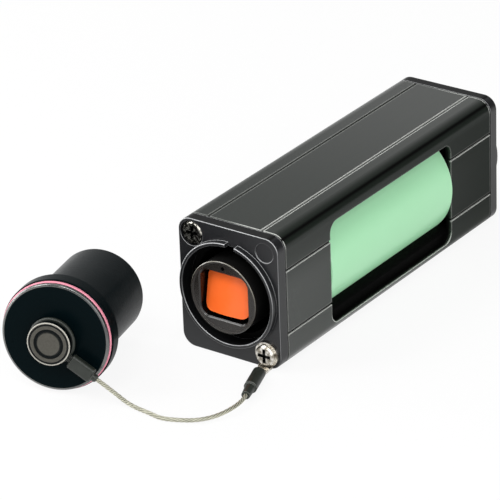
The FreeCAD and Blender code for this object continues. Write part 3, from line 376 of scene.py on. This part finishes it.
# Pale edges, partly wear and partly painted highlight.
wear_and_highlight = edge_wear_and_highlight(mould, 0.00008) * from_hole.between(0.0008, 0.0009)
wear_and_highlight = wear_and_highlight + (1.0 - wear_and_highlight) * lip
moulded = mould.mix(flow, (0.0115, 0.0095, 0.0080, 1), (0.0180, 0.0150, 0.0130, 1))
edged = mould.mix(wear_and_highlight * (0.35 + 0.35 * flow), moulded, (0.34, 0.32, 0.26, 1))
# The sides in the ring gap and the index hole are painted nearly black, as painted shade.
shaded = mould.mix(face * (1.0 - hole), (0.0014, 0.0013, 0.0012, 1), edged)
dress(mould.close(
    Base_Color=shaded,
    Roughness=0.20 + 0.12 * spark + 0.2 * (1.0 - face) * (1.0 - walls) + 0.45 * slope,
    Normal=mould.bump(spark, 0.000004),
), "front_core", "rear_core", "adapter_front_half", "adapter_rear_half")

# %% [markdown]
# ## Gaskets and seals
# Behind each flange sits a thin rubber gasket; only its edge shows as a dark line. Rubber is dull, with a
# fine powdery grain and hardly any gloss, so one noise for colour, roughness and bump is enough.

# %% Rubber finish
rubber = finish("black_gasket_rubber")
powder = rubber.noise(rubber.place(), 3000.0, 4.0)
dress(rubber.close(
    Base_Color=rubber.mix(powder, (0.0025, 0.0025, 0.0028, 1), (0.0060, 0.0060, 0.0065, 1)),
    Roughness=0.62 + 0.2 * powder,
    Normal=rubber.bump(powder, 0.000008),
), "front_gasket", "rear_gasket", "front_core_seal", "rear_core_seal")

# %% [markdown]
# ## Window strip
# A bowed strip of mint green plastic closes the window from inside. It is milky: light enters a little and
# comes out softened, so the colour is even, also in the shade of the window's edge. Subsurface scattering
# would show this, but it is slow and does not survive an export, so a weak glow of the same colour, a
# painted light, stands for the light that passes through. The edges are paler, partly as cut edges and
# partly as a painted highlight where they look up, and fine lengthwise lines are left by extruding the
# strip.

# %% Strip finish
milky = finish("mint_strip_plastic")
haze = milky.noise(milky.place(), 70.0, 2.0)
drawn = milky.noise(milky.place(Scale=(1.0, 0.02, 1.0)), 2600.0, 2.0)
# The edges are painted paler, partly as cut edges and partly as a painted highlight where they look up.
rim = edge_wear_and_highlight(milky, 0.0006)
mint = milky.mix(haze, (0.335, 0.665, 0.390, 1), (0.360, 0.690, 0.420, 1))
dress(milky.close(
    Base_Color=milky.mix(rim * 0.7, mint, (0.62, 0.88, 0.68, 1)),
    # The glow is painted light that evens the colour in the shade of the window's edge.
    Emission_Color=(0.40, 0.79, 0.49, 1),
    Emission_Strength=0.22,
    Roughness=0.30 + 0.10 * drawn,
    Normal=milky.bump(drawn, 0.000003),
), "window_strip")

# %% [markdown]
# ## Shutters
# The flap behind each opening is a glossy orange moulding, bowed like a shallow barrel. Its colour is
# nearly even. Highlights could be painted on, but they would stay in place when the flap swings or the
# light moves, so the gloss is left to the shader and the lamps. A coarse noise varies the colour a little,
# a fine one the roughness.

# %% Shutter finish
flap = finish("orange_shutter_plastic")
tint = flap.noise(flap.place(), 240.0, 3.0)
mist = flap.noise(flap.place(), 5200.0, 2.0)
dress(flap.close(
    Base_Color=flap.mix(tint, (0.93, 0.134, 0.012, 1), (0.98, 0.168, 0.030, 1)),
    Roughness=0.30 + 0.10 * mist,
    Normal=flap.bump(mist, 0.000003),
), "front_shutter", "rear_shutter")

# %% [markdown]
# ## Screws, pins and eyelet
# The lanyard hardware is bright stainless steel; the flange screws are blackened and rubbed bright in
# specks. The cross of a screw head is cut in the solid. It is nearly black in the picture, so one helper
# finds the places that lie in a cross, near the axis of a screw and below its face, and both finishes paint
# them dark, as painted shade. Pale edges on both are partly wear and partly a painted highlight.

# %% Screw crosses
SCREW_ASIDE = 0.0095
SCREW_ABOVE = 0.0120


def recess(network, top):
    """1 down in the cross of a screw head whose face lies at the given distance from the middle."""
    x, y, z = network.split(network.place())
    along = abs(y)
    aside = abs(x) - SCREW_ASIDE
    above = abs(z - AXIS_HEIGHT) - SCREW_ABOVE
    near = 1.0 - ((aside * aside + above * above) ** 0.5).between(0.0016, 0.0018)
    under_face = 1.0 - along.between(top - 0.00015, top - 0.00005)
    return near * under_face * along.between(top - 0.0020, top - 0.0018)


# %% Bright steel finish
LANYARD_SCREW_FACE = 0.0453
bright = finish("bright_stainless_steel")
scratch = bright.noise(bright.place(Scale=(1.0, 1.0, 0.15)), 6000.0, 3.0)
smear = bright.noise(bright.place(), 900.0, 3.0).between(0.38, 0.62)
# Pale edges, partly wear and partly painted highlight.
wear_and_highlight = edge_wear_and_highlight(bright, 0.00012)
steel = bright.mix(smear, (0.26, 0.235, 0.19, 1), (0.84, 0.81, 0.75, 1))
paled = bright.mix(wear_and_highlight * 0.5, steel, (0.90, 0.90, 0.88, 1))
dress(bright.close(
    # The cross of the head is painted dark, as painted shade.
    Base_Color=bright.mix(recess(bright, LANYARD_SCREW_FACE), paled, (0.03, 0.03, 0.028, 1)),
    Metallic=1.0,
    Roughness=0.20 + 0.22 * scratch,
    Normal=bright.bump(scratch, 0.000005),
), "lanyard_screw", "lanyard_eyelet", "front_shutter_pin", "rear_shutter_pin",
    "front_shutter_spring", "rear_shutter_spring")

# %% Blackened steel finish
FLANGE_SCREW_FACE = 0.0438
oxide = finish("dark_nickel_screw_steel")
speck = oxide.noise(oxide.place(), 1500.0, 4.0)
# Pale edges, partly wear and partly painted highlight.
wear_and_highlight = edge_wear_and_highlight(oxide, 0.00014)
dark = oxide.mix(speck.between(0.42, 0.60), (0.045, 0.043, 0.038, 1), (0.62, 0.60, 0.54, 1))
paled = oxide.mix(wear_and_highlight * 0.7, dark, (0.66, 0.64, 0.57, 1))
dress(oxide.close(
    # The cross of the head is painted dark, as painted shade.
    Base_Color=oxide.mix(recess(oxide, FLANGE_SCREW_FACE), paled, (0.006, 0.006, 0.006, 1)),
    Metallic=0.95,
    Roughness=0.14 + 0.16 * speck,
    Normal=oxide.bump(speck, 0.000010),
), "front_upper_screw", "rear_upper_screw", "rear_lower_screw")

# %% [markdown]
# ## Cap
# The cap is polished black plastic. Such a surface is mostly a mirror of what stands round it, so its own
# colour is almost nothing, and roughness and coat carry the story: faint turning marks round the axis, and
# behind the disc a thin, uneven clear coat, because the plug mirrors more in the picture than the disc does.
# The rounded rim of the disc has the full coat, so that the lamps draw a line along it wherever the cap is
# turned, and a faint pale line in patches all round, partly scuff and partly a painted highlight. A Mapping
# node of the texture kind turns Object coordinates into the cap's own frame, whose Z is the cap axis, so
# that marks and rings run round that axis.

# %% Cap frame
swivel = [joint for joint in frame["joints"] if joint["name"] == "cap_swivel"][0]
cap_middle = Vector(swivel["pos_m"])
cap_axis = Vector(swivel["axis"]).normalized()
cap_side = Vector((-cap_axis.y, cap_axis.x, 0.0)).normalized()
cap_turn = Matrix((cap_side, cap_axis.cross(cap_side), cap_axis)).transposed().to_euler()
cap_frame = {"vector_type": "TEXTURE", "Location": tuple(cap_middle), "Rotation": tuple(cap_turn)}
print("cap axis", tuple(round(v, 3) for v in cap_axis))

# %% Cap finish
polish = finish("polished_black_plastic")
radius, height = around(polish, cap_frame)
marks = polish.field("ShaderNodeTexNoise", {"noise_dimensions": "1D"}, {
    "W": radius + height, "Scale": 9000.0,
})
smear = polish.noise(polish.place(), 95.0, 4.0)
rim = radius.between(0.01144, 0.01152) * height.between(-0.0006, -0.0004)
behind_disc = 1.0 - height.between(-0.0055, -0.0050)
# A faint pale line in patches all round the rim, partly scuff and partly a painted highlight.
scuff_and_highlight = rim * smear.between(0.30, 0.50)
dress(polish.close(
    Base_Color=polish.mix(scuff_and_highlight, (0.0012, 0.0042, 0.0052, 1), (0.075, 0.078, 0.074, 1)),
    Roughness=0.18 + 0.12 * smear + 0.06 * marks,
    Specular_IOR_Level=0.03,
    Coat_Weight=rim + (0.018 + 0.085 * smear) * behind_disc,
    Coat_IOR=2.0,
    Coat_Roughness=0.16,
    Normal=polish.bump(marks, 0.0000012),
), "cap_plug")

# %% [markdown]
# ## Button
# The button in the middle of the cap holds the lanyard. Its end face is grey with two dark ring grooves.
# Masks by radius and height pick out the grey lands, as a print would, and the rest stays black like the
# cap. A pale ring on the rounded edge of the end face is a painted highlight. The cap turns, so its edges
# are worn alike all round, and the painted highlight runs all round too.

# %% Button places
knob = finish("printed_button_plastic")
radius, height = around(knob, cap_frame)


def crisp(value, limit):
    """A sharp step from 0 to 1 at a limit."""
    return value.between(limit - 0.00004, limit + 0.00004)


inner = 1.0 - crisp(radius, 0.00250)
land = crisp(radius, 0.00335) * (1.0 - crisp(radius, 0.00410))
printed = crisp(height, 0.00396) * (inner + land)
# A painted highlight: a pale ring all round on the rounded edge of the end face.
edge = crisp(radius, 0.00448) * height.between(0.00384, 0.00394)
print("button: a disc and a ring are printed")

# %% Button finish
fleck = knob.noise(knob.place(), 2400.0, 4.0)
wear_and_highlight = edge_wear_and_highlight(knob, 0.00016, 0.0)
black = knob.mix(wear_and_highlight * 0.15, (0.0012, 0.0030, 0.0034, 1), (0.30, 0.29, 0.26, 1))
rimmed = knob.mix(edge, black, (0.42, 0.405, 0.36, 1))
grey = knob.mix(fleck, (0.052, 0.050, 0.043, 1), (0.098, 0.094, 0.080, 1))
dress(knob.close(
    Base_Color=knob.mix(printed, rimmed, grey),
    Roughness=0.22 + 0.25 * printed + 0.08 * fleck,
    Specular_IOR_Level=0.10,
    Normal=knob.bump(fleck, 0.000003),
), "cap_button")

# %% [markdown]
# ## Seal ring
# The pink silicone ring behind the cap's disc is soft and matt, with a slight bloom that pales the colour
# in patches. A coarse noise makes the patches and a fine one the pores.

# %% Seal finish
silicone = finish("pink_silicone")
bloom = silicone.noise(silicone.place(), 500.0, 4.0)
pores = silicone.noise(silicone.place(), 5200.0, 2.0)
dress(silicone.close(
    Base_Color=silicone.mix(bloom, (0.76, 0.240, 0.330, 1), (0.86, 0.330, 0.415, 1)),
    Roughness=0.42 + 0.16 * pores,
    Normal=silicone.bump(pores, 0.000005),
), "cap_seal_ring")

# %% [markdown]
# ## Sleeves and loop
# Both ends of the rope are held in shrink sleeve over a crimp. Shrink sleeve is satin black, drawn tight
# with faint wrinkles, and its edges are greyish, partly where it is stretched over an edge and partly as a
# painted highlight where they look up.

# %% Sleeve finish
shrink = finish("black_shrink_sleeve")
wrinkle = shrink.noise(shrink.place(), 900.0, 3.0)
fine = shrink.noise(shrink.place(), 6500.0, 2.0)
# Greyish edges, partly stretched sleeve and partly a painted highlight where they look up.
wear_and_highlight = edge_wear_and_highlight(shrink, 0.0002)
stretched = shrink.mix(wrinkle, (0.010, 0.013, 0.010, 1), (0.022, 0.027, 0.021, 1))
dress(shrink.close(
    Base_Color=shrink.mix(wear_and_highlight * 0.6, stretched, (0.36, 0.37, 0.34, 1)),
    Roughness=0.36 + 0.14 * fine,
    Normal=shrink.bump(wrinkle, 0.00004, 0.6),
), "lanyard_housing_sleeve", "lanyard_cap_sleeve", "lanyard_cap_loop")

# %% [markdown]
# ## Lanyard rope
# The lanyard is a thin steel rope: six strands laid round a seventh. First a smooth NURBS line follows the
# route of the CAD wire. Its points then carry the strands, each winding round the line once every few
# millimetres. Curves with a round bevel make the strands, and one mesh takes them all, because the rope is
# one piece. The grooves between strands are painted darker than their crowns, as painted shade. An
# attribute of the mesh holds how far each point stands off the line, and the finish reads it, so the
# pattern follows the strands round every bend.

# %% Rope line
ROUTE = [
    (0.014020, -0.058740, 0.001500),
    (0.015479, -0.062464, 0.001484),
    (0.012500, -0.070870, 0.000620),
    (0.004330, -0.075095, 0.000560),
    (0.000065, -0.074290, 0.000560),
    (-0.005255, -0.073765, 0.000560),
    (-0.009153, -0.075078, 0.003816),
    (-0.012158, -0.075813, 0.005754),
]
line_curve = bpy.data.curves.new("lanyard_line", "CURVE")
line_curve.dimensions = "3D"
line_spline = line_curve.splines.new("NURBS")
line_spline.points.add(len(ROUTE) - 1)
for point, place in zip(line_spline.points, ROUTE):
    point.co = (*place, 1.0)
line_spline.order_u = 3
line_spline.use_endpoint_u = True
line_spline.resolution_u = 24
line_object = bpy.data.objects.new("lanyard_line", line_curve)
line_mesh = bpy.data.meshes.new_from_object(line_object)
path = [vertex.co.copy() for vertex in line_mesh.vertices]
bpy.data.objects.remove(line_object)

# %% Rope strands
ROPE_RADIUS = 0.000475
LAY_LENGTH = 0.0065
STRANDS_ROUND = 6
strand_radius = ROPE_RADIUS / 3.0
strand_curve = bpy.data.curves.new("lanyard_strands", "CURVE")
strand_curve.dimensions = "3D"
strand_curve.bevel_depth = strand_radius
strand_curve.bevel_resolution = 1
strand_curve.use_fill_caps = True
for strand in range(STRANDS_ROUND + 1):
    spline = strand_curve.splines.new("POLY")
    spline.points.add(len(path) - 1)
    reach = 2.0 * strand_radius if strand < STRANDS_ROUND else 0.0
    travelled = 0.0
    for i, place in enumerate(path):
        ahead = path[min(i + 1, len(path) - 1)]
        behind = path[max(i - 1, 0)]
        along = (ahead - behind).normalized()
        side = along.cross(Vector((0.0, 0.0, 1.0))).normalized()
        over = side.cross(along)
        travelled += (place - behind).length
        angle = math.tau * (strand / STRANDS_ROUND + travelled / LAY_LENGTH)
        offset = side * (reach * math.cos(angle)) + over * (reach * math.sin(angle))
        spline.points[i].co = (*(place + offset), 1.0)
strand_object = bpy.data.objects.new("lanyard_strands", strand_curve)
rope_mesh = bpy.data.meshes.new_from_object(strand_object)
bpy.data.objects.remove(strand_object)
rope_mesh.name = "lanyard_rope"
rope_mesh.shade_smooth()
rope = bpy.data.objects.new("lanyard_rope", rope_mesh)
bpy.context.scene.collection.objects.link(rope)
print("rope:", len(rope_mesh.polygons), "faces")

# %% Rope grooves
line_tree = kdtree.KDTree(len(path))
for i, place in enumerate(path):
    line_tree.insert(place, i)
line_tree.balance()
off_line = rope_mesh.attributes.new("off_line", "FLOAT", "POINT")
for vertex in rope_mesh.vertices:
    off_line.data[vertex.index].value = line_tree.find(vertex.co)[2]
furthest = max(point.value for point in off_line.data)
print("rope points stand off the line by up to", round(furthest * 1000, 3), "mm")

# %% Rope finish
wire = finish("stranded_lanyard_steel")
tarnish = wire.noise(wire.place(), 700.0, 3.0)
draw_marks = wire.noise(wire.place(), 9000.0, 2.0)
stands_off = wire.node("ShaderNodeAttribute", {"attribute_name": "off_line"}, {}).outputs["Fac"]
crown = Field(wire, stands_off).between(0.00032, 0.00045)
steel = wire.mix(tarnish, (0.42, 0.415, 0.325, 1), (0.70, 0.69, 0.56, 1))
rope_mesh.materials.clear()
rope_mesh.materials.append(wire.close(
    # The grooves between strands are painted dark, as painted shade.
    Base_Color=wire.mix(crown, (0.030, 0.031, 0.023, 1), steel),
    Metallic=0.6,
    Roughness=0.32 + 0.16 * draw_marks,
    Normal=wire.bump(draw_marks, 0.000004),
))
print(wire.owner.name, "on", rope.name)

# %% Rope declaration
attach(rope, "coupler")
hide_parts("lanyard_wire")

# %% [markdown]
# ## Floor
# The part lies on white paper. Paper lit by lamps alone would come out grey, so for the camera and for
# reflections most of the floor is a plain white glow, and the rest is lit paper that keeps the soft shadow
# under the part. The sheet is wide, so that it still fills the picture from a low angle.

# %% Floor
FLOOR_DROP = 0.00004
floor_shape = bmesh.new()
bmesh.ops.create_grid(floor_shape, x_segments=2, y_segments=2, size=16.0)
bmesh.ops.translate(floor_shape, verts=floor_shape.verts, vec=(0.0, 0.0, -FLOOR_DROP))
floor_mesh = bpy.data.meshes.new("floor")
floor_shape.to_mesh(floor_mesh)
floor_shape.free()
floor = bpy.data.objects.new("floor", floor_mesh)
bpy.context.scene.collection.objects.link(floor)
print("floor at", floor_mesh.vertices[0].co.z)

# %% Paper finish
paper = finish("white_paper")
rays = paper.node("ShaderNodeLightPath", {}, {})
seen = 0.90 * Field(paper, rays.outputs["Is Camera Ray"])
seen = seen + 0.60 * Field(paper, rays.outputs["Is Glossy Ray"])
seen = seen + 0.90 * Field(paper, rays.outputs["Is Transmission Ray"])
fibres = paper.noise(paper.place(), 300.0, 4.0)
lit = paper.node("ShaderNodeBsdfDiffuse", {}, {
    "Color": paper.mix(fibres, (0.84, 0.84, 0.84, 1), (0.88, 0.88, 0.88, 1)),
})
glow = paper.node("ShaderNodeEmission", {}, {"Color": (1.0, 1.0, 1.0, 1.0), "Strength": 1.0})
both = paper.node("ShaderNodeMixShader", {}, {0: seen, 1: lit.outputs[0], 2: glow.outputs[0]})
paper.node("ShaderNodeOutputMaterial", {}, {"Surface": both.outputs[0]})
floor_mesh.materials.append(paper.owner)
print(paper.owner.name, "on", floor.name)

# %% [markdown]
# ## Light
# Three small soft boxes, low at the left, above and in front, light the rims, such as that of the cap's
# disc. A broad one at the right lights the window strip and the side, and a slim upright one at the front
# left lights the nose and the flap. Black things are shaped by what they mirror: the room is pale on the
# left, which the top of the housing shows, and dark on the right, which leaves a dark band along the
# rounded edge.

# %% Soft boxes
def soft_box(name, place, width, height, watts):
    """A rectangular lamp that faces the front half of the part."""
    middle = Vector((0.0, -0.02, 0.015))
    light = bpy.data.lights.new(name, "AREA")
    light.shape = "RECTANGLE"
    light.size = width
    light.size_y = height
    light.energy = watts
    lamp = bpy.data.objects.new(name, light)
    bpy.context.scene.collection.objects.link(lamp)
    lamp.location = place
    lamp.rotation_euler = (Vector(place) - middle).to_track_quat("Z", "Y").to_euler()
    print(name, "gives", watts, "W")


soft_box("left_low", (-0.65, -0.07, 0.20), 0.25, 0.25, 1.6)
soft_box("key_top", (-0.37, -0.32, 0.52), 0.25, 0.25, 1.6)
soft_box("front_up", (0.08, -0.44, 0.58), 0.25, 0.25, 1.6)
soft_box("right_box", (0.62, -0.40, 0.42), 0.90, 0.90, 5.0)
soft_box("slim_box", (-0.42, -0.48, 0.14), 0.10, 0.28, 0.6)

# %% Room
room = Network(bpy.data.worlds.new("room"))
direction = room.node("ShaderNodeTexCoord", {}, {}).outputs["Generated"]
leftward = room.node("ShaderNodeVectorMath", {"operation": "DOT_PRODUCT"}, {
    0: direction, 1: (-1.0, 0.2, 0.0),
})
brightness = room.field("ShaderNodeMapRange", {}, {
    "Value": leftward.outputs["Value"],
    "From Min": -0.2, "From Max": 0.6, "To Min": 0.06, "To Max": 0.85,
})
sky = room.node("ShaderNodeBackground", {}, {"Color": (1.0, 1.0, 1.0, 1.0), "Strength": brightness})
room.node("ShaderNodeOutputWorld", {}, {"Surface": sky.outputs[0]})
bpy.context.scene.world = room.owner
bpy.context.scene.view_settings.view_transform = "Standard"
print("room:", len(room.tree.nodes), "nodes")
